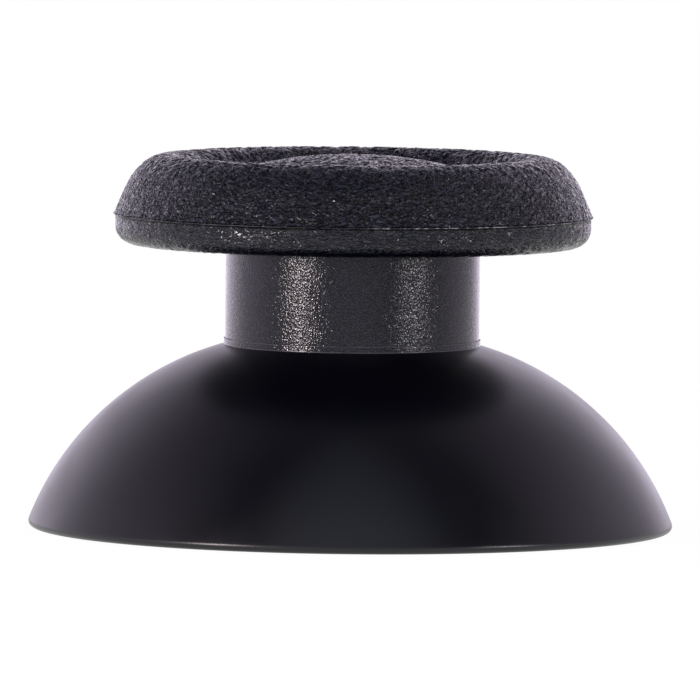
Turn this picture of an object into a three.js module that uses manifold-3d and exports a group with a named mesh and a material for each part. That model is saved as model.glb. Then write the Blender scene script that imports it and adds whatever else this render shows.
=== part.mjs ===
// A thumbstick cap for a game controller, in millimetres, +Z up.
// It is two pieces. The stick body is one hard plastic moulding: a hollow dome skirt, a round neck
// with a head flange on top, and a boss under the dome whose socket takes the stick module's shaft.
// The rubber grip is moulded round the flange: a raised rim, a trough and a crowned centre.
// The origin is the middle of the flat ring that the dome stands on.
import * as THREE from "three";
import { mergeVertices } from "three/addons/utils/BufferGeometryUtils.js";
import Module from "manifold-3d";

const wasm = await Module();
wasm.setup();

// Dome skirt. Its section is an arc whose centre lies off the axis and below the base plane.
const DOME_RADIUS = 12.33; // where its arc meets the base plane, before that corner is rounded
const DOME_ARC_RADIUS = 11.1; // of the outer surface, in section
const DOME_ARC_DROP = 3.71; // from the base plane down to the arc's centre
const DOME_WALL = 1.1;
const DOME_EDGE_ROUND = 0.22; // on the outer corner of the base

// Neck, with a narrow smooth band round its foot.
const NECK_RADIUS = 4.83;
const NECK_LENGTH = 3.78; // from the dome up to the grip's underside
const FOOT_BAND_HEIGHT = 0.24;
const FOOT_BAND_PROUD = 0.05;

// Socket for the module's shaft, which is round with two flats, and the boss round it.
const SHAFT_RADIUS = 2;
const SHAFT_ACROSS_FLATS = 3;
const SHAFT_CLEARANCE = 0.03; // all round
const SOCKET_DEPTH = 6.4;
const SOCKET_LEAD_IN = 0.25; // how far the countersink at its mouth opens it out
const BOSS_WALL = 1.17;
const BOSS_SHORT = 0.6; // from the base plane up to the boss's end
const BOSS_CHAMFER = 0.25;
const BOSS_ROOT_ROUND = 0.5;

// Rubber grip, from its underside up.
const GRIP_RADIUS = 9.1; // at the parting line, where it is widest
const LOWER_ROUND = 0.69; // between the underside and the wall
const LOWER_WALL_HEIGHT = 0.36; // upright wall between that round and the parting line
const PARTING_LIP = 0.07; // how far the upper mould half stands out over the lower one
const TAPER_ANGLE = 23; // of the side above the parting line, from upright
const TAPER_LENGTH = 1.08;
const SHOULDER_RADIUS = 2.73;
const SHOULDER_ANGLE = 45; // at which the shoulder's arc runs into the rim's tighter one
const RIM_ROUND = 1.43; // of the raised rim, in section
const CROWN_RADIUS = 16.5; // of the crowned centre's surface
const CROWN_RISE = 0.05; // of the centre's top over the rim's crest
const TROUGH_ROUND = 1.5; // between crown and rim

// Rubber round the head flange. The flange fills what the rubber leaves.
const RUBBER_BELOW_FLANGE = 0.6;
const RUBBER_ABOVE_FLANGE = 0.95; // at the bottom of the trough
const RUBBER_ROUND_FLANGE = 1.75;
const FLANGE_ROUND = 0.25;

// Fineness of the faceted solids.
const TURN_STEPS = 60; // faces round the axis
const CHORD_ERROR = 0.02; // that a face may leave on an arc of the section
const SOCKET_ARC_STEPS = 8; // faces on each round side of the socket
const CUT_MARGIN = 1; // how far a cutting tool runs past the face that it opens

const RIGHT_ANGLE = Math.PI / 2;
const point = (r, z) => new THREE.Vector2(r, z);

// The point at a distance from another one, in a direction measured from straight outwards.
function away(from, distance, angle) {
  return point(from.x + distance * Math.cos(angle), from.y + distance * Math.sin(angle));
}

// Points of a section arc between two directions from its centre.
function arc(centre, radius, start, end) {
  const widest = 2 * Math.acos(1 - CHORD_ERROR / radius);
  const steps = Math.max(2, Math.ceil(Math.abs(end - start) / widest));
  return Array.from({ length: steps + 1 }, (_, i) => {
    return away(centre, radius, start + ((end - start) * i) / steps);
  });
}

// Direction from one point to another.
function direction(from, to) {
  return Math.atan2(to.y - from.y, to.x - from.x);
}

// Centre of the round that lies above two circles and touches both.
function centreAbove(left, leftRadius, right, rightRadius, round) {
  const a = leftRadius + round;
  const b = rightRadius + round;
  const apart = left.distanceTo(right);
  const along = Math.acos((a * a + apart * apart - b * b) / (2 * a * apart));
  return away(left, a, direction(left, right) + along);
}

// A section turned round the Z axis. The section has its material on its left all the way.
function turned(section) {
  const shortest = 1e-3;
  const corners = section.filter((p, i) => i === 0 || p.distanceTo(section[i - 1]) > shortest);
  return new THREE.LatheGeometry(corners, TURN_STEPS).rotateX(RIGHT_ANGLE);
}

function toSolid(geometry) {
  const bare = geometry.clone().deleteAttribute("normal").deleteAttribute("uv");
  const merged = mergeVertices(bare, 1e-4);
  return new wasm.Manifold(
    new wasm.Mesh({
      numProp: 3,
      vertProperties: merged.getAttribute("position").array,
      triVerts: new Uint32Array(merged.index.array),
    }),
  );
}

function toGeometry(solid) {
  const { vertProperties, triVerts } = solid.getMesh();
  return new THREE.BufferGeometry()
    .setAttribute("position", new THREE.BufferAttribute(vertProperties, 3))
    .setIndex(new THREE.BufferAttribute(triVerts, 1));
}

// Centre of the dome's section, shared by its outer and inner surface.
const domeCentre = point(DOME_RADIUS - Math.sqrt(DOME_ARC_RADIUS ** 2 - DOME_ARC_DROP ** 2), -DOME_ARC_DROP);
const innerDomeRadius = DOME_ARC_RADIUS - DOME_WALL;

// The point of a dome surface that lies at a distance from the axis.
function onDome(arcRadius, r) {
  return point(r, domeCentre.y + Math.sqrt(arcRadius ** 2 - (r - domeCentre.x) ** 2));
}

// Grip: places of its section, from the underside up to the middle of the top.
const neckFoot = onDome(DOME_ARC_RADIUS, NECK_RADIUS).y;
const underside = neckFoot + NECK_LENGTH;
const lowerWallRadius = GRIP_RADIUS - PARTING_LIP;
const lowerWallTop = underside + LOWER_ROUND + LOWER_WALL_HEIGHT;
const taperAngle = THREE.MathUtils.degToRad(TAPER_ANGLE);
const shoulderAngle = THREE.MathUtils.degToRad(SHOULDER_ANGLE);
const partingEdge = point(GRIP_RADIUS, lowerWallTop + PARTING_LIP);
const taperTop = away(partingEdge, TAPER_LENGTH, RIGHT_ANGLE + taperAngle);
const shoulderCentre = away(taperTop, -SHOULDER_RADIUS, taperAngle);
const rimCentre = away(shoulderCentre, SHOULDER_RADIUS - RIM_ROUND, shoulderAngle);
const crownTop = rimCentre.y + RIM_ROUND + CROWN_RISE;
const crownCentre = point(0, crownTop - CROWN_RADIUS);
const troughCentre = centreAbove(crownCentre, CROWN_RADIUS, rimCentre, RIM_ROUND, TROUGH_ROUND);

// Flange: what the rubber leaves inside the grip.
const flangeBottom = underside + RUBBER_BELOW_FLANGE;
const flangeTop = troughCentre.y - TROUGH_ROUND - RUBBER_ABOVE_FLANGE;
const flangeRadius = GRIP_RADIUS - RUBBER_ROUND_FLANGE;
const flangeRound = Math.min(FLANGE_ROUND, (flangeTop - flangeBottom) / 3);

// The surface that neck and flange share with the rubber, from the underside up to the axis.
function bond() {
  const edge = flangeRadius - flangeRound;
  return [
    point(NECK_RADIUS, underside),
    point(NECK_RADIUS, flangeBottom),
    ...arc(point(edge, flangeBottom + flangeRound), flangeRound, -RIGHT_ANGLE, 0),
    ...arc(point(edge, flangeTop - flangeRound), flangeRound, 0, RIGHT_ANGLE),
    point(0, flangeTop),
  ];
}

// Section of the stick body, from the boss's end down the inside and up the outside to the flange.
function bodySection() {
  const bossRadius = SHAFT_RADIUS + SHAFT_CLEARANCE + BOSS_WALL;
  const root = onDome(innerDomeRadius, bossRadius + BOSS_ROOT_ROUND);
  const innerEdge = point(domeCentre.x + Math.sqrt(innerDomeRadius ** 2 - DOME_ARC_DROP ** 2), 0);
  const edgeArc = DOME_ARC_RADIUS - DOME_EDGE_ROUND;
  const edgeAngle = Math.asin((DOME_EDGE_ROUND + DOME_ARC_DROP) / edgeArc);
  const band = onDome(DOME_ARC_RADIUS, NECK_RADIUS + FOOT_BAND_PROUD);
  return [
    point(0, BOSS_SHORT),
    point(bossRadius - BOSS_CHAMFER, BOSS_SHORT),
    point(bossRadius, BOSS_SHORT + BOSS_CHAMFER),
    ...arc(point(root.x, root.y - BOSS_ROOT_ROUND), BOSS_ROOT_ROUND, 2 * RIGHT_ANGLE, RIGHT_ANGLE),
    ...arc(domeCentre, innerDomeRadius, direction(domeCentre, root), direction(domeCentre, innerEdge)),
    ...arc(away(domeCentre, edgeArc, edgeAngle), DOME_EDGE_ROUND, -RIGHT_ANGLE, edgeAngle),
    ...arc(domeCentre, DOME_ARC_RADIUS, edgeAngle, direction(domeCentre, band)),
    point(band.x, neckFoot + FOOT_BAND_HEIGHT),
    point(NECK_RADIUS, neckFoot + FOOT_BAND_HEIGHT),
    ...bond(),
  ];
}

// Section of the grip, from the flange's top round the flange, out along the underside and back over.
function gripSection() {
  const toTrough = direction(rimCentre, troughCentre);
  const toCrown = direction(crownCentre, troughCentre);
  return [
    ...bond().reverse(),
    ...arc(point(lowerWallRadius - LOWER_ROUND, underside + LOWER_ROUND), LOWER_ROUND, -RIGHT_ANGLE, 0),
    point(lowerWallRadius, lowerWallTop),
    partingEdge,
    ...arc(shoulderCentre, SHOULDER_RADIUS, taperAngle, shoulderAngle),
    ...arc(rimCentre, RIM_ROUND, shoulderAngle, toTrough),
    ...arc(troughCentre, TROUGH_ROUND, toTrough - 2 * RIGHT_ANGLE, toCrown - 2 * RIGHT_ANGLE),
    ...arc(crownCentre, CROWN_RADIUS, toCrown, RIGHT_ANGLE),
  ];
}

// Tool that cuts the socket: a round hole with two flats.
function socketTool() {
  const radius = SHAFT_RADIUS + SHAFT_CLEARANCE;
  const flatAngle = Math.asin((SHAFT_ACROSS_FLATS / 2 + SHAFT_CLEARANCE) / radius);
  const outline = new THREE.Shape()
    .absarc(0, 0, radius, -flatAngle, flatAngle)
    .absarc(0, 0, radius, Math.PI - flatAngle, Math.PI + flatAngle)
    .closePath();
  const hole = new THREE.ExtrudeGeometry(outline, {
    depth: SOCKET_DEPTH + CUT_MARGIN,
    curveSegments: SOCKET_ARC_STEPS,
    bevelEnabled: false,
  });
  return toSolid(hole.translate(0, 0, BOSS_SHORT - CUT_MARGIN));
}

// Tool that cuts the countersink at the socket's mouth, at 45 degrees.
function countersinkTool() {
  const mouth = SHAFT_RADIUS + SHAFT_CLEARANCE + SOCKET_LEAD_IN;
  const low = BOSS_SHORT - CUT_MARGIN;
  return toSolid(turned([point(0, low), point(mouth + CUT_MARGIN, low), point(0, BOSS_SHORT + mouth)]));
}

function stickBody() {
  const solid = toSolid(turned(bodySection())).subtract(socketTool()).subtract(countersinkTool());
  const plastic = new THREE.MeshStandardMaterial({ color: 0x1c1c20, roughness: 0.38, metalness: 0 });
  const mesh = new THREE.Mesh(toGeometry(solid), plastic);
  mesh.name = "stick_body";
  return mesh;
}

function rubberGrip() {
  const rubber = new THREE.MeshStandardMaterial({ color: 0x26262c, roughness: 0.7, metalness: 0 });
  const mesh = new THREE.Mesh(turned(gripSection()), rubber);
  mesh.name = "rubber_grip";
  return mesh;
}

export default new THREE.Group().add(stickBody(), rubberGrip());
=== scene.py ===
# %% [markdown]
# # A thumbstick cap, dressed
# The solid model holds the two pieces at their real size: a hard plastic stick body, and the rubber
# grip moulded over its head. Its faces are flat, which is right for fitting and weighing it and
# wrong for looking at it. Here each piece gets a fine surface of the same shape, and the finish
# that its mould gave it: leather grain on the rubber, spark erosion on the neck, satin on the dome.

# %% Tools and the fixed frame
import math

import bpy
import numpy as np
from mathutils import Matrix, Vector


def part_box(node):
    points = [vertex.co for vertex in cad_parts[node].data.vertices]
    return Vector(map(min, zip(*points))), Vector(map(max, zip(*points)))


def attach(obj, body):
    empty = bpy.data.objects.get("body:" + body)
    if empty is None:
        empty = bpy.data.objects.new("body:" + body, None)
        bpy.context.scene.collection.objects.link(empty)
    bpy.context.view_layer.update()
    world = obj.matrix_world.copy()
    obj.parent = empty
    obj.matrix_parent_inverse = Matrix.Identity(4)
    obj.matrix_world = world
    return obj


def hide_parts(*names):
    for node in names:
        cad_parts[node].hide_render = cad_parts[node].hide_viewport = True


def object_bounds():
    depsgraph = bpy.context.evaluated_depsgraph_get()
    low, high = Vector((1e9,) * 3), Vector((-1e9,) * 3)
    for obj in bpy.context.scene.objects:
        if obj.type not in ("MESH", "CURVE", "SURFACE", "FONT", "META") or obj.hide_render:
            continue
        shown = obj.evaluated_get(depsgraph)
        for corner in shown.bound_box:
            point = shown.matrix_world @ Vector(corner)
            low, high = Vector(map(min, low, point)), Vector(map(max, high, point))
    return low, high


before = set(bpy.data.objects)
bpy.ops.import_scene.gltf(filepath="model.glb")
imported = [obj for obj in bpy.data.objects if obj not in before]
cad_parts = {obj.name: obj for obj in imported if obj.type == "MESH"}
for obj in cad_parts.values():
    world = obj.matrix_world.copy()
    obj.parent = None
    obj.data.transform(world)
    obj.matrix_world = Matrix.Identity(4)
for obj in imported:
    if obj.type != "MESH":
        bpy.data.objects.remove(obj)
cad_low, cad_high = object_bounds()
MM = 0.001
print("CAD box in mm:", [round(v / MM, 3) for v in (*cad_low, *cad_high)])

# %% [markdown]
# ## Sizes
# A turned piece is its section carried round the axis. The section's sizes are those of the solid
# model, in millimetres. What the frame can tell is read from it: the grip's widest radius, the
# level of its underside, and the top.

# %% Sizes of both pieces
grip_low, grip_high = (np.array(corner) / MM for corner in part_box("rubber_grip"))
GRIP_RADIUS = grip_high[0]
UNDERSIDE = grip_low[2]
TOP = grip_high[2]

DOME_ARC_RADIUS = 11.1
DOME_ARC_DROP = 3.71
DOME_WALL = 1.1
DOME_EDGE_ROUND = 0.22
NECK_RADIUS = 4.83
BAND_HEIGHT = 0.24
BAND_PROUD = 0.05
SOCKET_RADIUS = 2.03
SOCKET_ACROSS_FLATS = 3.06
SOCKET_END = 7.0
COUNTERSINK = 0.25
BOSS_RADIUS = 3.2
BOSS_END = 0.6
BOSS_CHAMFER = 0.25
BOSS_ROOT_ROUND = 0.5
LOWER_ROUND = 0.69
LOWER_WALL_HEIGHT = 0.36
PARTING_LIP = 0.07
TAPER_ANGLE = math.radians(23)
TAPER_LENGTH = 1.08
SHOULDER_RADIUS = 2.73
SHOULDER_ANGLE = math.radians(45)
RIM_ROUND = 1.43
CROWN_RADIUS = 16.5
TROUGH_ROUND = 1.5
RUBBER_BELOW_FLANGE = 0.6
RUBBER_ABOVE_FLANGE = 0.95
RUBBER_ROUND_FLANGE = 1.75
print("grip radius, underside and top in mm:", GRIP_RADIUS, UNDERSIDE, TOP)

# %% [markdown]
# ## Outlines
# A section is a row of strokes, each a list of points (distance from the axis, height). An arc is
# sampled finely first. Then every stroke is cut into even steps of the length that its finish
# needs, so a corner between two strokes stays sharp and no point is typed by hand.

# %% Points, arcs and even steps
RIGHT = math.pi / 2


def away(start, distance, angle):
    """start + distance (cos angle, sin angle), in the section's plane."""
    return np.array([start[0] + distance * math.cos(angle), start[1] + distance * math.sin(angle)])


def direction(start, end):
    """Angle of the line from start to end."""
    return math.atan2(end[1] - start[1], end[0] - start[0])


def arc(centre, radius, start, end, points=181):
    """centre + radius (cos a, sin a), with a running evenly from start to end."""
    a = np.linspace(start, end, points)
    return np.asarray(centre) + radius * np.stack([np.cos(a), np.sin(a)], axis=1)


def stepped(stroke, step):
    """The same stroke at even steps of its arc length s: each coordinate is read off against s."""
    stroke = np.asarray(stroke, float)
    s = np.concatenate([[0], np.cumsum(np.linalg.norm(np.diff(stroke, axis=0), axis=1))])
    even = np.linspace(0, s[-1], max(1, round(s[-1] / step)) + 1)
    return np.stack([np.interp(even, s, stroke[:, k]) for k in (0, 1)], axis=1)


def section(strokes):
    """All strokes of (finish, points, step) in one row: the points, and the finish of the strip
    that ends at each point. A point that two strokes share is kept once."""
    points, finishes = [np.asarray(strokes[0][1][:1], float)], [strokes[0][0]]
    for finish, stroke, step in strokes:
        fine = stepped(stroke, step)[1:]
        points.append(fine)
        finishes += [finish] * len(fine)
    return np.concatenate(points), np.array(finishes)


# %% [markdown]
# ## From an outline to a closed mesh
# The surface is a function of two parameters: the row i along the section and the angle t round
# the axis. It is worked out as whole arrays. Where the section touches the axis, the ring shrinks
# to one point and its strip is triangles, so both poles are closed. The last column joins the
# first.

# %% The turned mesh
def ring_grid(r, z, columns):
    """x = r cos t, y = r sin t, z, for each row of r and z and each angle t. r and z hold one
    number for each row, or one for each row and angle."""
    t = np.arange(columns) * (2 * math.pi / columns)
    r, z = np.broadcast_arrays(r, z)
    shape = (len(r), columns)
    r, z = (np.broadcast_to(a if a.ndim == 2 else a[:, None], shape) for a in (r, z))
    return np.stack([r * np.cos(t), r * np.sin(t), z], axis=2)


def turned_mesh(name, grid, strip_material, materials):
    """Mesh of a grid whose first and last rows are points on the axis. Quads join the rings between
    them, and triangles join the first and last ring to their pole."""
    rings, columns = grid.shape[0] - 2, grid.shape[1]
    points = np.concatenate([grid[:1, 0], grid[1:-1].reshape(-1, 3), grid[-1:, 0]]) * MM
    at = 1 + np.arange(rings * columns).reshape(rings, columns)
    ahead = np.roll(at, -1, axis=1)
    quads = np.stack([at[:-1], ahead[:-1], ahead[1:], at[1:]], axis=2).reshape(-1, 4)
    first = np.stack([np.zeros(columns, int), ahead[0], at[0]], axis=1)
    last = np.stack([at[-1], ahead[-1], np.full(columns, len(points) - 1)], axis=1)
    corners = np.concatenate([first.ravel(), quads.ravel(), last.ravel()])
    sizes = np.concatenate([np.full(columns, 3), np.full(len(quads), 4), np.full(columns, 3)])
    mesh = bpy.data.meshes.new(name)
    mesh.vertices.add(len(points))
    mesh.vertices.foreach_set("co", points.ravel())
    mesh.loops.add(len(corners))
    mesh.loops.foreach_set("vertex_index", corners.astype(np.int32))
    mesh.polygons.add(len(sizes))
    mesh.polygons.foreach_set("loop_start", (np.cumsum(sizes) - sizes).astype(np.int32))
    mesh.polygons.foreach_set("material_index", np.repeat(strip_material, columns).astype(np.int32))
    mesh.polygons.foreach_set("use_smooth", np.ones(len(sizes), bool))
    mesh.update(calc_edges=True)
    mesh.validate()
    for material in materials:
        mesh.materials.append(material)
    piece = bpy.data.objects.new(name, mesh)
    bpy.context.scene.collection.objects.link(piece)
    print(name, "has", 2 * len(quads) + 2 * columns, "triangles")
    return piece


# %% [markdown]
# ## Relief that the mould leaves
# A grained mould isn't a repeating pattern. Its coarse relief is made here as a sum of many plane
# waves that run in all directions through space, with their directions and phases drawn once from a
# seeded generator. Read on any surface, that sum is even in all directions, and it has no seam.

# %% A field of plane waves
def wave_field(points, wavelength, seed, waves=70, spread=0.35):
    """Sum of cos(k . p + phase) over random directions k, scaled so that its spread is about 1. The
    wavelengths lie within a share `spread` of the one given. points are in millimetres."""
    draw = np.random.default_rng(seed)
    k = draw.normal(size=(waves, 3))
    k /= np.linalg.norm(k, axis=1, keepdims=True)
    k *= 2 * math.pi / (wavelength * draw.uniform(1 - spread, 1 + spread, size=(waves, 1)))
    phase = draw.uniform(0, 2 * math.pi, waves)
    flat = points.reshape(-1, 3)
    total = np.zeros(len(flat))
    for one, shift in zip(k, phase):
        total += np.cos(flat @ one + shift)
    return (total * math.sqrt(2 / waves)).reshape(points.shape[:-1])


def pushed_in(grid, outward, depth):
    """Each point of the grid moved against its outward direction in the section by depth."""
    radial = np.hypot(grid[..., 0], grid[..., 1])
    scale = 1 - depth * outward[:, None, 0] / np.maximum(radial, 1e-6)
    moved = grid.copy()
    moved[..., 0] *= scale
    moved[..., 1] *= scale
    moved[..., 2] -= depth * outward[:, None, 1]
    return moved


def outward_of(points):
    """Outward direction at each point of a section that has its material on its left."""
    along = np.gradient(points, axis=0)
    along /= np.maximum(np.linalg.norm(along, axis=1, keepdims=True), 1e-9)
    return np.stack([along[:, 1], -along[:, 0]], axis=1)


# %% [markdown]
# ## Node trees
# A small helper sets a new node's options and sockets by name, and links a socket where it is given
# another node's output. It keeps each finish below short enough to read as a recipe.

# %% A helper for nodes
def put(tree, kind, sockets=None, **options):
    """A new node. options are its settings, and sockets its inputs: values or outputs to link."""
    node = tree.nodes.new(kind)
    for name, value in options.items():
        setattr(node, name, value)
    for name, value in (sockets or {}).items():
        if isinstance(value, bpy.types.NodeSocket):
            tree.links.new(value, node.inputs[name])
        else:
            node.inputs[name].default_value = value
    return node


def new_finish(name):
    """A material with its Principled shader, and its place in millimetres as a socket."""
    material = bpy.data.materials.new(name)
    material.use_nodes = True
    tree = material.node_tree
    shader = tree.nodes["Principled BSDF"]
    place = put(tree, "ShaderNodeTexCoord").outputs["Object"]
    to_mm = {0: place, 1: (1 / MM, 1 / MM, 1 / MM)}
    mm = put(tree, "ShaderNodeVectorMath", to_mm, operation="MULTIPLY").outputs[0]
    print("finish", name)
    return material, tree, shader, mm


def calc(tree, operation, first, second):
    """The output of a Math node."""
    return put(tree, "ShaderNodeMath", {0: first, 1: second}, operation=operation).outputs[0]


def stretched(tree, place, across, upright):
    """place times `across` in x and y and times `upright` in z: a pattern read there is squeezed
    along an axis whose number is over 1, and drawn out along one whose number is under it."""
    sockets = {0: place, 1: (across, across, upright)}
    return put(tree, "ShaderNodeVectorMath", sockets, operation="MULTIPLY").outputs[0]


def noise(tree, place, scale, detail):
    """Soft noise between 0 and 1 with `scale` waves to the millimetre, and detail finer layers."""
    sockets = {"Vector": place, "Scale": scale, "Detail": detail}
    return put(tree, "ShaderNodeTexNoise", sockets).outputs[0]


def blended(tree, share, colour_at_0, colour_at_1):
    """The colour that lies a share of the way from the first colour to the second."""
    ramp = put(tree, "ShaderNodeValToRGB", {"Fac": share})
    for stop, colour in zip(ramp.color_ramp.elements, (colour_at_0, colour_at_1)):
        stop.color = (*colour, 1)
    return ramp.outputs["Color"]


def ranged(tree, value, low, high, to_low, to_high, kind="SMOOTHSTEP"):
    """value from low..high to to_low..to_high, and no further."""
    sockets = {"Value": value, 1: low, 2: high, 3: to_low, 4: to_high}
    return put(tree, "ShaderNodeMapRange", sockets, interpolation_type=kind).outputs[0]


def bumped(tree, shader, height, distance_mm):
    """Tilts the shader's normal as a relief of this height, which is 1 for distance_mm."""
    sockets = {"Height": height, "Distance": distance_mm * MM, "Strength": 1.0}
    bump = put(tree, "ShaderNodeBump", sockets)
    tree.links.new(bump.outputs[0], shader.inputs["Normal"])


# %% [markdown]
# ## The rubber's finish
# The grip's mould is etched with a leather grain: pebbles about a quarter of a millimetre across,
# with creases between them and a softer tooth over both. A Voronoi texture gives the pebbles, and
# its coordinates are first pushed about by noise, because neat cells would look like a golf ball.
# The creases are duller and the tops a little polished, so a lamp picks out single grains. The
# creases' near-black colour is painted shade, and the colour is also darkened as painted shade
# below the parting line and towards the underside. The relief changes with the level: it is
# shallower on top and under the parting line, where a much finer tooth is added that sparkles low
# on the side.

# %% Levels on the rubber
TOP_BELOW = 0.35
SIDE_BELOW = 1.1
LINE_LEVEL = UNDERSIDE + LOWER_ROUND + LOWER_WALL_HEIGHT + PARTING_LIP
LINE_SPREAD = 0.1
print("the parting line's level in mm:", LINE_LEVEL)

# %% Rubber
GRAIN_SQUEEZE = 1.7
STIR_SCALE = 2.5
STIR_PUSH = 0.5
PEBBLE_SCALE = 4.2
CREASE_REACH = 0.16
TOOTH_SCALE = 5.5
LUMP_SCALE = 2.0
SPARK_SCALE = 13.0
RUBBER_RELIEF = 0.165
# Painted shade: the crease colour is near black and stands in for shade in the creases; the pebble
# colour is the rubber's own.
CREASE_SHADE_COLOUR = (0.0003, 0.0006, 0.0040)
PEBBLE_COLOUR = (0.0240, 0.0270, 0.0450)


def pebbles(tree, mm):
    """The grain's place, which is mm squeezed upright and pushed about by noise, and its pebbles:
    the distance to the nearest edge of a Voronoi cell, from 0 in a crease to 1 on a pebble."""
    flow = stretched(tree, mm, 1, GRAIN_SQUEEZE)
    stir = put(tree, "ShaderNodeTexNoise", {"Vector": flow, "Scale": STIR_SCALE, "Detail": 1.0})
    centred = {0: stir.outputs["Color"], 1: (0.5, 0.5, 0.5)}
    swirl = put(tree, "ShaderNodeVectorMath", centred, operation="SUBTRACT").outputs[0]
    much = {0: swirl, "Scale": STIR_PUSH}
    push = put(tree, "ShaderNodeVectorMath", much, operation="SCALE").outputs[0]
    place = put(tree, "ShaderNodeVectorMath", {0: flow, 1: push}, operation="ADD").outputs[0]
    cells = {"Vector": place, "Scale": PEBBLE_SCALE, "Randomness": 1.0}
    edge = put(tree, "ShaderNodeTexVoronoi", cells, feature="DISTANCE_TO_EDGE").outputs["Distance"]
    return place, ranged(tree, edge, 0.0, CREASE_REACH, 0.0, 1.0)


def grip_rubber():
    """Height = relief (0.6 pebble + tooth + lumps) + spark, each share depending on the level."""
    material, tree, shader, mm = new_finish("grip_rubber")
    place, pebble = pebbles(tree, mm)
    tooth = noise(tree, place, TOOTH_SCALE, 0.6)
    lumps = noise(tree, mm, LUMP_SCALE, 1.0)
    level = put(tree, "ShaderNodeSeparateXYZ", {0: mm}).outputs["Z"]
    line = (LINE_LEVEL - LINE_SPREAD, LINE_LEVEL + LINE_SPREAD)
    # Near the underside this share fades the relief, and through the colour it paints shade there.
    grain_and_under_shade = ranged(tree, level, UNDERSIDE + 0.10, UNDERSIDE + 0.36, 0.1, 1.0)
    above = ranged(tree, level, TOP - SIDE_BELOW, TOP - TOP_BELOW, 1.0, 0.3)
    below = ranged(tree, level, *line, 0.27, 1.0)
    relief = calc(tree, "MULTIPLY", grain_and_under_shade, calc(tree, "MULTIPLY", above, below))
    height = calc(tree, "ADD", calc(tree, "MULTIPLY", pebble, 0.6), tooth)
    height = calc(tree, "MULTIPLY", calc(tree, "ADD", height, lumps), relief)
    near = ranged(tree, level, LINE_LEVEL, LINE_LEVEL + 0.8, 0.09, 0.04)
    spark_share = calc(tree, "MULTIPLY", near, grain_and_under_shade)
    sparks = calc(tree, "MULTIPLY", noise(tree, mm, SPARK_SCALE, 0.5), spark_share)
    bumped(tree, shader, calc(tree, "ADD", height, sparks), RUBBER_RELIEF)
    # Painted shade in the colour: near black in the creases, darker below the parting line and
    # towards the underside.
    top = calc(tree, "MULTIPLY", pebble, ranged(tree, tooth, 0.41, 0.58, 0.0, 1.0))
    shade = calc(tree, "MULTIPLY", grain_and_under_shade, ranged(tree, level, *line, 0.55, 1.0))
    colour = blended(tree, calc(tree, "MULTIPLY", top, shade), CREASE_SHADE_COLOUR, PEBBLE_COLOUR)
    tree.links.new(colour, shader.inputs["Base Color"])
    tree.links.new(ranged(tree, top, 0.0, 0.8, 0.24, 0.07), shader.inputs["Roughness"])
    shader.inputs["Specular IOR Level"].default_value = 0.44
    return material


# %% [markdown]
# Where the mould's halves meet, a little rubber creeps between them and is left as flash. Its pale
# colour is a painted highlight along one stretch on the right, with faint painted specks
# elsewhere, where it is hardly seen.

# %% Painted highlight on the flash at the parting line
HIGHLIGHT_TURN = math.radians(35)
HIGHLIGHT_ARC = (0.84, 0.90)
FLASH_BASE_COLOUR = (0.0015, 0.0015, 0.0025)
FLASH_HIGHLIGHT_COLOUR = (0.42, 0.42, 0.44)


def flash_painted_highlight():
    """A painted highlight, pale where the cosine of the turn from its heading passes its arc, with
    breaks.
    """
    material, tree, shader, mm = new_finish("flash_painted_highlight")
    flat = stretched(tree, mm, 1, 0)
    heading = put(tree, "ShaderNodeVectorMath", {0: flat}, operation="NORMALIZE").outputs[0]
    axis = {0: heading, 1: (math.sin(HIGHLIGHT_TURN), -math.cos(HIGHLIGHT_TURN), 0)}
    facing = put(tree, "ShaderNodeVectorMath", axis, operation="DOT_PRODUCT").outputs["Value"]
    # Faint painted specks of highlight elsewhere along the flash.
    elsewhere = ranged(tree, noise(tree, mm, 0.22, 1.0), 0.56, 0.62, 0.0, 0.15)
    breaks = noise(tree, mm, 4.0, 2.0)
    share = calc(tree, "MAXIMUM", ranged(tree, facing, *HIGHLIGHT_ARC, 0.0, 1.0), elsewhere)
    share = calc(tree, "MULTIPLY", share, ranged(tree, breaks, 0.42, 0.60, 0.08, 1.0))
    colour = blended(tree, share, FLASH_BASE_COLOUR, FLASH_HIGHLIGHT_COLOUR)
    tree.links.new(colour, shader.inputs["Base Color"])
    tree.links.new(ranged(tree, breaks, 0.3, 0.7, 0.45, 0.3), shader.inputs["Roughness"])
    return material


# %% [markdown]
# ## The hard plastic's finishes
# One moulding has several finishes, because its mould was worked in several ways. The neck and the
# band round its foot were spark eroded, which leaves a fine even frost that glitters where a lamp
# catches it, and pale dots in the neck's colour are painted glints. The dome was polished to a
# satin, and the inside was left as it was milled. The band's thin edges are painted paler than the
# rest, as a painted highlight.

# %% Spark-eroded neck
FROST_STRETCH = 0.6
FROST_SCALE = 20.0
FROST_RELIEF = 0.013
PIT_SHARE = 0.3
BETWEEN_PITS_COLOUR = (0.0010, 0.0010, 0.0020)
PAINTED_GLINT_COLOUR = (0.0450, 0.0470, 0.0780)


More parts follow.
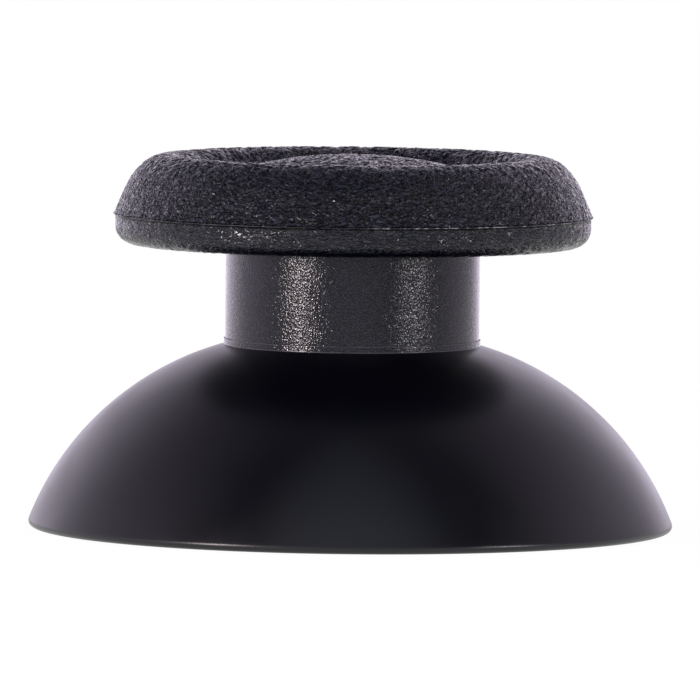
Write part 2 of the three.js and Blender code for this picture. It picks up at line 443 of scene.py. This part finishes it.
def neck_frost():
    """Height = noise drawn out upright + 0.3 of the distance to the nearest pit."""
    material, tree, shader, mm = new_finish("neck_frost")
    frost = noise(tree, stretched(tree, mm, 1, FROST_STRETCH), FROST_SCALE, 0.5)
    cells = {"Vector": mm, "Scale": FROST_SCALE}
    pits = put(tree, "ShaderNodeTexVoronoi", cells).outputs["Distance"]
    height = calc(tree, "ADD", frost, calc(tree, "MULTIPLY", pits, PIT_SHARE))
    bumped(tree, shader, height, FROST_RELIEF)
    # Painted glints: sparse pale dots in the colour at the pits, over a near-black base.
    glint_dots = ranged(tree, pits, 0.15, 0.45, 1.0, 0.0)
    colour = blended(tree, glint_dots, BETWEEN_PITS_COLOUR, PAINTED_GLINT_COLOUR)
    tree.links.new(colour, shader.inputs["Base Color"])
    tree.links.new(ranged(tree, frost, 0.35, 0.65, 0.19, 0.09), shader.inputs["Roughness"])
    shader.inputs["Specular IOR Level"].default_value = 0.38
    return material


# %% Satin dome
def dome_satin():
    """A faint haze as relief, and a roughness that drifts slowly over the dome."""
    material, tree, shader, mm = new_finish("dome_satin")
    bumped(tree, shader, noise(tree, mm, 9.0, 3.0), 0.0016)
    cloud = noise(tree, mm, 0.35, 3.0)
    tree.links.new(ranged(tree, cloud, 0.3, 0.7, 0.29, 0.34), shader.inputs["Roughness"])
    shader.inputs["Base Color"].default_value = (0.0009, 0.0012, 0.0036, 1)
    shader.inputs["Specular IOR Level"].default_value = 0.45
    return material


# %% Painted highlight on the foot band's edges
def foot_edge_highlight():
    """A painted highlight: paler and smoother where a coarse noise is high."""
    material, tree, shader, mm = new_finish("foot_edge_highlight")
    highlight_noise = noise(tree, mm, 1.6, 2.0)
    highlight_share = ranged(tree, highlight_noise, 0.3, 0.6, 0.4, 1.0)
    colour = blended(tree, highlight_share, (0.02, 0.02, 0.022), (0.075, 0.075, 0.085))
    tree.links.new(colour, shader.inputs["Base Color"])
    tree.links.new(ranged(tree, highlight_noise, 0.3, 0.7, 0.4, 0.25), shader.inputs["Roughness"])
    return material


# %% Milled inside
def inside_plain():
    """An even grain, duller where it is high."""
    material, tree, shader, mm = new_finish("inside_plain")
    grain = noise(tree, mm, 6.0, 3.0)
    bumped(tree, shader, grain, 0.006)
    tree.links.new(ranged(tree, grain, 0.3, 0.7, 0.45, 0.6), shader.inputs["Roughness"])
    shader.inputs["Base Color"].default_value = (0.010, 0.010, 0.013, 1)
    return material


# %% [markdown]
# ## The stick body
# Its section starts at the socket's end, runs down the socket and round the boss, up and out under
# the dome, round the base ring and over the dome, up the neck and round the flange inside the
# rubber. The socket is the one part that isn't round: at each angle it is the smaller of its round
# side and its flat, r = min(R, F / |sin t|).

# %% Sections of the body
dome_centre = np.array([0.0, -DOME_ARC_DROP])
base_half = cad_high[0] / MM
edge_arc = DOME_ARC_RADIUS - DOME_EDGE_ROUND
edge_angle = math.asin((DOME_EDGE_ROUND + DOME_ARC_DROP) / edge_arc)
dome_centre[0] = base_half - DOME_EDGE_ROUND - edge_arc * math.cos(edge_angle)
inner_arc = DOME_ARC_RADIUS - DOME_WALL


def on_dome(radius, r):
    """The point of a dome arc at a distance r from the axis."""
    return np.array([r, dome_centre[1] + math.sqrt(radius**2 - (r - dome_centre[0]) ** 2)])


neck_foot = on_dome(DOME_ARC_RADIUS, NECK_RADIUS)
print("dome centre in mm:", dome_centre, "and the neck's foot:", neck_foot)

# %% [markdown]
# The band round the neck's foot stands a twentieth of a millimetre proud, with its edges just
# broken. It wears the neck's frost, and a strip of painted highlight at its foot and round its top
# edge. What lies inside the rubber is there too, so the piece is whole when the grip is taken away,
# but nobody sees it, so its steps are long.

# %% Strokes of the body
flange_bottom = UNDERSIDE + RUBBER_BELOW_FLANGE
flange_radius = GRIP_RADIUS - RUBBER_ROUND_FLANGE
BAND_BREAK = 0.03
HIGHLIGHT_STRIP = 0.022
EDGE_STEP = 0.03
FINE_STEP = 0.12
MIDDLE_STEP = 0.22
COARSE_STEP = 0.5
INSIDE, DOME, NECK, EDGE, BURIED = range(5)


def body_strokes(flange_top):
    """Strokes from the boss's end round the inside, the outside and the flange, up to the axis."""
    root = on_dome(inner_arc, BOSS_RADIUS + BOSS_ROOT_ROUND)
    root_centre = root - (0, BOSS_ROOT_ROUND)
    inner_edge = (dome_centre[0] + math.sqrt(inner_arc**2 - DOME_ARC_DROP**2), 0)
    edge_centre = away(dome_centre, edge_arc, edge_angle)
    band = on_dome(DOME_ARC_RADIUS, NECK_RADIUS + BAND_PROUD)
    band_top = on_dome(DOME_ARC_RADIUS, NECK_RADIUS)[1] + BAND_HEIGHT
    band_centre = (band[0] - BAND_BREAK, band_top - BAND_BREAK)
    boss_face = [(SOCKET_RADIUS + COUNTERSINK, BOSS_END), (BOSS_RADIUS - BOSS_CHAMFER, BOSS_END)]
    boss_chamfer = [boss_face[1], (BOSS_RADIUS, BOSS_END + BOSS_CHAMFER)]
    neck_ends = [(NECK_RADIUS, band_top), (NECK_RADIUS, UNDERSIDE)]
    return [
        (INSIDE, boss_face, MIDDLE_STEP),
        (INSIDE, boss_chamfer, MIDDLE_STEP),
        (INSIDE, [boss_chamfer[1], (BOSS_RADIUS, root_centre[1])], COARSE_STEP),
        (INSIDE, arc(root_centre, BOSS_ROOT_ROUND, 2 * RIGHT, RIGHT), FINE_STEP),
        (INSIDE, arc(dome_centre, inner_arc, direction(dome_centre, root),
                     direction(dome_centre, inner_edge)), MIDDLE_STEP),
        (DOME, [inner_edge, (edge_centre[0], 0)], MIDDLE_STEP),
        (DOME, arc(edge_centre, DOME_EDGE_ROUND, -RIGHT, edge_angle), EDGE_STEP),
        (DOME, arc(dome_centre, DOME_ARC_RADIUS, edge_angle,
                   direction(dome_centre, band)), FINE_STEP),
        # Painted highlight strips: one at the band's foot and one round its top edge.
        (EDGE, [band, band + (0, HIGHLIGHT_STRIP)], EDGE_STEP),
        (NECK, [band + (0, HIGHLIGHT_STRIP), (band[0], band_centre[1])], EDGE_STEP),
        (EDGE, arc(band_centre, BAND_BREAK, 0, RIGHT), EDGE_STEP / 3),
        (EDGE, [(band_centre[0], band_top), neck_ends[0]], EDGE_STEP),
        (NECK, neck_ends, FINE_STEP),
        (BURIED, [neck_ends[1], (NECK_RADIUS, flange_bottom)], COARSE_STEP),
        (BURIED, [(NECK_RADIUS, flange_bottom), (flange_radius, flange_bottom)], COARSE_STEP),
        (BURIED, [(flange_radius, flange_bottom), (flange_radius, flange_top)], COARSE_STEP),
        (BURIED, [(flange_radius, flange_top), (0, flange_top)], COARSE_STEP),
    ]


# %% [markdown]
# ## The grip
# Its section follows the rubber from the flange down to the underside and out round the lower edge,
# up past the parting line, and over shoulder, rim and trough to the crowned middle. The trough's
# round lies above two circles and touches both, the crown's and the rim's, so its centre is where
# two larger circles cross.

# %% Centres of the grip's arcs
lower_wall = GRIP_RADIUS - PARTING_LIP
lower_top = UNDERSIDE + LOWER_ROUND + LOWER_WALL_HEIGHT
parting_edge = np.array([GRIP_RADIUS, lower_top + PARTING_LIP])
taper_top = away(parting_edge, TAPER_LENGTH, RIGHT + TAPER_ANGLE)
shoulder_centre = away(taper_top, -SHOULDER_RADIUS, TAPER_ANGLE)
rim_centre = away(shoulder_centre, SHOULDER_RADIUS - RIM_ROUND, SHOULDER_ANGLE)
crown_centre = np.array([0, TOP - CROWN_RADIUS])


def centre_above(left, left_radius, right, right_radius, radius):
    """Centre of the circle that touches two others from above: with a, b and c the sides of the
    triangle of the three centres, the angle at the left one is acos((a^2 + c^2 - b^2) / 2ac)."""
    a, b = left_radius + radius, right_radius + radius
    c = math.dist(left, right)
    return away(left, a, direction(left, right) + math.acos((a * a + c * c - b * b) / (2 * a * c)))


trough_centre = centre_above(crown_centre, CROWN_RADIUS, rim_centre, RIM_ROUND, TROUGH_ROUND)
flange_top = trough_centre[1] - TROUGH_ROUND - RUBBER_ABOVE_FLANGE
crest = rim_centre + (0, RIM_ROUND)
print("rim crest in mm:", crest.round(3), "trough bottom:", trough_centre[1] - TROUGH_ROUND)

# %% Strokes of the grip
SKIN_STEP = 0.08
CROWN_STEP = 0.13
UNDER_STEP = 0.25
CAVITY_STEP = 1.2
LIP_STEP = 0.025
FLASH_HEIGHT = 0.03
GROOVE_DEPTH = 0.035
GROOVE_TOP = 0.1
CAVITY, SKIN, FLASH = range(3)


def grip_strokes():
    """Strokes from the axis above the flange, round the flange, and over the outside back to it."""
    lower_centre = (lower_wall - LOWER_ROUND, UNDERSIDE + LOWER_ROUND)
    to_trough = direction(rim_centre, trough_centre)
    to_crown = direction(crown_centre, trough_centre)
    flash_top = parting_edge + (0, FLASH_HEIGHT)
    groove = parting_edge + (-GROOVE_DEPTH, FLASH_HEIGHT)
    taper_start = away(parting_edge, GROOVE_TOP, RIGHT + TAPER_ANGLE)
    return [
        (CAVITY, [(0, flange_top), (flange_radius, flange_top)], CAVITY_STEP),
        (CAVITY, [(flange_radius, flange_top), (flange_radius, flange_bottom)], CAVITY_STEP),
        (CAVITY, [(flange_radius, flange_bottom), (NECK_RADIUS, flange_bottom)], CAVITY_STEP),
        (CAVITY, [(NECK_RADIUS, flange_bottom), (NECK_RADIUS, UNDERSIDE)], CAVITY_STEP),
        (SKIN, [(NECK_RADIUS, UNDERSIDE), (lower_centre[0], UNDERSIDE)], UNDER_STEP),
        (SKIN, arc(lower_centre, LOWER_ROUND, -RIGHT, 0), SKIN_STEP),
        (SKIN, [(lower_wall, lower_centre[1]), (lower_wall, lower_top)], SKIN_STEP),
        (SKIN, [(lower_wall, lower_top), parting_edge], LIP_STEP),
        (FLASH, [parting_edge, flash_top], LIP_STEP),
        (SKIN, [flash_top, groove, taper_start], LIP_STEP),
        (SKIN, [taper_start, taper_top], SKIN_STEP),
        (SKIN, arc(shoulder_centre, SHOULDER_RADIUS, TAPER_ANGLE, SHOULDER_ANGLE), SKIN_STEP),
        (SKIN, arc(rim_centre, RIM_ROUND, SHOULDER_ANGLE, to_trough), SKIN_STEP),
        (SKIN, arc(trough_centre, TROUGH_ROUND, to_trough - 2 * RIGHT,
                   to_crown - 2 * RIGHT), SKIN_STEP),
        (SKIN, arc(crown_centre, CROWN_RADIUS, to_crown, RIGHT), CROWN_STEP),
    ]


# %% [markdown]
# The two pieces are made. The body's socket rows are put before its strokes: they start at the
# middle of the socket's end, and their radius depends on the angle. The grip's skin is pushed in by
# its relief, never out, so the piece stays inside the solid it stands for.

# %% The body
BODY_COLUMNS = 384
END_ROWS = 3
WALL_ROWS = 12
SHARP_ANGLE = math.radians(35)


def body_piece():
    """The body: rows over the socket's end and down its wall, of r = min(R, F / |sin t|), whose
    last row is the countersink's inner edge at 45 degrees, and then the turned strokes."""
    t = np.arange(BODY_COLUMNS) * (2 * math.pi / BODY_COLUMNS)
    flat = SOCKET_ACROSS_FLATS / 2 / np.maximum(np.abs(np.sin(t)), 1e-6)
    keyed = np.minimum(SOCKET_RADIUS, flat)
    mouth = SOCKET_RADIUS + COUNTERSINK
    sunk = BOSS_END + mouth - keyed
    outward = np.linspace(0, 1, END_ROWS)[:, None]
    down = np.linspace(0, 1, WALL_ROWS + 1)[1:, None]
    socket_r = np.concatenate([outward * keyed, np.repeat(keyed[None], WALL_ROWS, axis=0)])
    end = np.full((END_ROWS, len(t)), SOCKET_END)
    socket_z = np.concatenate([end, SOCKET_END + down * (sunk - SOCKET_END)])
    points, finish = section(body_strokes(flange_top))
    r = np.concatenate([socket_r, np.repeat(points[:, :1], len(t), axis=1)])
    z = np.concatenate([socket_z, np.repeat(points[:, 1:], len(t), axis=1)])
    strips = np.concatenate([np.full(len(socket_r), INSIDE), finish])[1:]
    body_finishes = [inside_plain(), dome_satin(), neck_frost(), foot_edge_highlight()]
    looks = np.array([0, 1, 2, 3, 0])[strips]
    return turned_mesh("stick_body_finished", ring_grid(r, z, BODY_COLUMNS), looks, body_finishes)


body = body_piece()
body.data.set_sharp_from_angle(angle=SHARP_ANGLE)

# %% The grip
GRIP_COLUMNS = 624
SIDE_WAVELENGTH = 0.32
SIDE_DEPTH = 0.036
TOP_WAVELENGTH = 0.42
TOP_DEPTH = 0.085
CREASE_WIDTH = 0.5


def creases(grid, wavelength, seed):
    """exp(-|wave field| / width): 1 along the creases, where the field is 0, and less between."""
    return np.exp(-np.abs(wave_field(grid, wavelength, seed)) / CREASE_WIDTH)


def grip_piece():
    """The grip: its turned section, with the skin pushed in along creases. The creases are deeper
    and wider on top than on the sides. share = (TOP - z - TOP_BELOW) / (SIDE_BELOW - TOP_BELOW)
    goes from 0 on top to 1 on the sides."""
    points, finish = section(grip_strokes())
    grid = ring_grid(points[:, 0], points[:, 1], GRIP_COLUMNS)
    share = np.clip((TOP - grid[..., 2] - TOP_BELOW) / (SIDE_BELOW - TOP_BELOW), 0, 1)
    depth = SIDE_DEPTH * creases(grid, SIDE_WAVELENGTH, seed=11) * share
    depth += TOP_DEPTH * creases(grid, TOP_WAVELENGTH, seed=12) * (1 - share)
    skin = (finish == SKIN).astype(float)[:, None]
    grid = pushed_in(grid, outward_of(points), depth * skin)
    looks = np.array([0, 0, 1])[finish[1:]]
    return turned_mesh("rubber_grip_finished", grid, looks, [grip_rubber(), flash_painted_highlight()])


grip = grip_piece()

# %% Both pieces on the frame
dressed = ((body, "stick_body", "hard_plastic"), (grip, "rubber_grip", "grip_rubber"))
for piece, node, slot_name in dressed:
    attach(piece, "root")
    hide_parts(node)
    print(piece.name, "stands for", node)

# %% [markdown]
# ## Floor, light and camera
# The part stands on a pale sheet, in a plain studio. Most of the sheet's light is plain white to
# the camera, and to rays that come from a mirror or through glass, which makes the background
# white. The rest is matt paint, which holds the part's soft shadow. The sheet is small, so that
# the upright neck mirrors the room behind it as well. It lies a hundredth of a millimetre low,
# because two faces in one plane would flicker.

# %% Floor
FLOOR_HALF = 80
FLOOR_BELOW = 0.01
WHITE_SHARE = 0.88
WHITE_STRENGTH = 1.09


def floor_material():
    """WHITE_SHARE of plain light to camera, glossy and transmission rays, and matt for the rest."""
    material = bpy.data.materials.new("pale_floor")
    material.use_nodes = True
    tree = material.node_tree
    tree.nodes.clear()
    rays = put(tree, "ShaderNodeLightPath").outputs
    matt = put(tree, "ShaderNodeBsdfDiffuse", {"Color": (0.9, 0.9, 0.9, 1)})
    white = put(tree, "ShaderNodeEmission", {"Color": (1, 1, 1, 1), "Strength": WHITE_STRENGTH})
    seen = calc(tree, "MAXIMUM", rays["Is Camera Ray"], rays["Is Transmission Ray"])
    seen = calc(tree, "MAXIMUM", seen, rays["Is Glossy Ray"])
    share = calc(tree, "MULTIPLY", seen, WHITE_SHARE)
    mix = put(tree, "ShaderNodeMixShader", {0: share, 1: matt.outputs[0], 2: white.outputs[0]})
    put(tree, "ShaderNodeOutputMaterial", {"Surface": mix.outputs[0]})
    return material


floor_mesh = bpy.data.meshes.new("floor")
square = np.array([(-1, -1, 0), (1, -1, 0), (1, 1, 0), (-1, 1, 0)])
corners = (FLOOR_HALF * square - (0, 0, FLOOR_BELOW)) * MM
floor_mesh.from_pydata(corners.tolist(), [], [(0, 1, 2, 3)])
floor_mesh.materials.append(floor_material())
floor = bpy.data.objects.new("floor", floor_mesh)
bpy.context.scene.collection.objects.link(floor)
print("floor corners in mm:", (corners / MM).round(2).tolist())

# %% [markdown]
# The photo's light tells where its lamps stood. A bright stripe on a round neck lies half way
# between the camera and its lamp, so the two stripes put one lamp about 48 degrees to the left of
# the camera and the other about 57 degrees to the right, both low. The room is bright at eye level
# and darker above, which is why the dome's sides are grey and its middle is nearly black. So the
# world is white only to the camera and through glass, and the dark plastic mirrors the room.

# %% Room light
HEAD_ON = Vector((0, -1, 0))
COOL_LIGHT = (0.93, 0.96, 1.10, 1)
WARM_LIGHT = (0.99, 0.90, 1.08, 1)


def panel(tree, heading, height, turn, reach, strength, low, high):
    """A soft upright panel of light: full at its own turn round the part, none at reach degrees
    from it, full up to the height low and none above high. A height is a sine of elevation."""
    axis = HEAD_ON.copy()
    axis.rotate(Matrix.Rotation(math.radians(turn), 3, "Z"))
    sockets = {0: heading, 1: axis}
    facing = put(tree, "ShaderNodeVectorMath", sockets, operation="DOT_PRODUCT").outputs["Value"]
    across = ranged(tree, facing, math.cos(math.radians(reach)), 1.0, 0.0, strength)
    return calc(tree, "MULTIPLY", across, ranged(tree, height, low, high, 1.0, 0.0, "LINEAR"))


def room():
    """One cool panel ahead of the part and three warmer ones round its back, added up."""
    world = bpy.data.worlds.new("room")
    world.use_nodes = True
    tree = world.node_tree
    tree.nodes.clear()
    toward = put(tree, "ShaderNodeTexCoord").outputs["Generated"]
    height = put(tree, "ShaderNodeSeparateXYZ", {0: toward}).outputs["Z"]
    level = {0: stretched(tree, toward, 1, 0)}
    heading = put(tree, "ShaderNodeVectorMath", level, operation="NORMALIZE").outputs[0]
    front = panel(tree, heading, height, 0, 48, 0.72, 0.6, 1.35)
    back = panel(tree, heading, height, -172, 53, 1.75, 0.0, 0.8)
    left = panel(tree, heading, height, -106, 54, 1.18, 0.0, 1.10)
    right = panel(tree, heading, height, 119, 61, 0.80, 0.4, 1.15)
    rear = calc(tree, "ADD", calc(tree, "ADD", back, left), right)
    rays = put(tree, "ShaderNodeLightPath").outputs
    ahead = put(tree, "ShaderNodeBackground", {"Color": COOL_LIGHT, "Strength": front})
    behind = put(tree, "ShaderNodeBackground", {"Color": WARM_LIGHT, "Strength": rear})
    soft = put(tree, "ShaderNodeAddShader", {0: ahead.outputs[0], 1: behind.outputs[0]})
    white = put(tree, "ShaderNodeBackground", {"Color": (1, 1, 1, 1), "Strength": 1.0})
    seen = calc(tree, "MAXIMUM", rays["Is Camera Ray"], rays["Is Transmission Ray"])
    pick = {0: seen, 1: soft.outputs[0], 2: white.outputs[0]}
    mix = put(tree, "ShaderNodeMixShader", pick)
    put(tree, "ShaderNodeOutputWorld", {"Surface": mix.outputs[0]})
    return world


bpy.context.scene.world = room()
print("the room has", len(bpy.context.scene.world.node_tree.nodes), "nodes")

# %% Lamps
AIM = Vector((0, 0, 8)) * MM
LAMP_RISE = 6
LAMP_AWAY = 300


def lamp(name, turn, width, height, radiance, colour):
    """A soft rectangular lamp that faces the part, in degrees and millimetres, turned by `turn`
    from the camera's side and raised a little. Its power is pi times its area times radiance."""
    data = bpy.data.lights.new(name, "AREA")
    data.shape = "RECTANGLE"
    data.size = width * MM
    data.size_y = height * MM
    data.energy = math.pi * data.size * data.size_y * radiance
    data.color = colour
    around, up = math.radians(turn), math.radians(LAMP_RISE)
    level = math.cos(up)
    toward = Vector((math.sin(around) * level, -math.cos(around) * level, math.sin(up)))
    holder = bpy.data.objects.new(name, data)
    faced = toward.to_track_quat("Z", "Y").to_matrix().to_4x4()
    holder.matrix_world = Matrix.Translation(AIM + toward * LAMP_AWAY * MM) @ faced
    holder.visible_camera = False
    bpy.context.scene.collection.objects.link(holder)
    print(name, "gives", round(data.energy, 3), "watts")


lamp("left_lamp", -48, 36, 55, 86.0, (1.0, 0.87, 0.89))
lamp("right_lamp", 57, 34, 45, 42.0, (1.0, 0.92, 0.98))

# %% [markdown]
# The camera stands 450 mm away and a little above the part, and leans about half a degree, because
# the part's right side lies that much lower in the photo. The lens follows from what the frame is
# wide at the part: width of frame over distance is width of sensor over focal length.

# %% Camera
CAMERA_BACK = 450
CAMERA_HEIGHT = 37.0
AIM_HEIGHT = 6.77
AIM_LEFT = 0.076
LEAN = 0.0103
FRAME_WIDTH = 26.57
SENSOR_WIDTH = 36

eye = Vector((-AIM_LEFT, -CAMERA_BACK, CAMERA_HEIGHT)) * MM
target = Vector((-AIM_LEFT, 0, AIM_HEIGHT)) * MM
camera_data = bpy.data.cameras.new("camera")
camera_data.sensor_width = SENSOR_WIDTH
camera_data.lens = SENSOR_WIDTH * (eye - target).length / (FRAME_WIDTH * MM)
camera_data.clip_start = 0.01
camera_data.clip_end = 20
camera = bpy.data.objects.new("camera", camera_data)
facing = (eye - target).to_track_quat("Z", "Y").to_matrix().to_4x4()
camera.matrix_world = Matrix.Translation(eye) @ facing @ Matrix.Rotation(LEAN, 4, "Z")
bpy.context.scene.collection.objects.link(camera)
bpy.context.scene.camera = camera
bpy.context.scene.view_settings.view_transform = "Standard"
print("lens in mm:", round(camera_data.lens, 1))
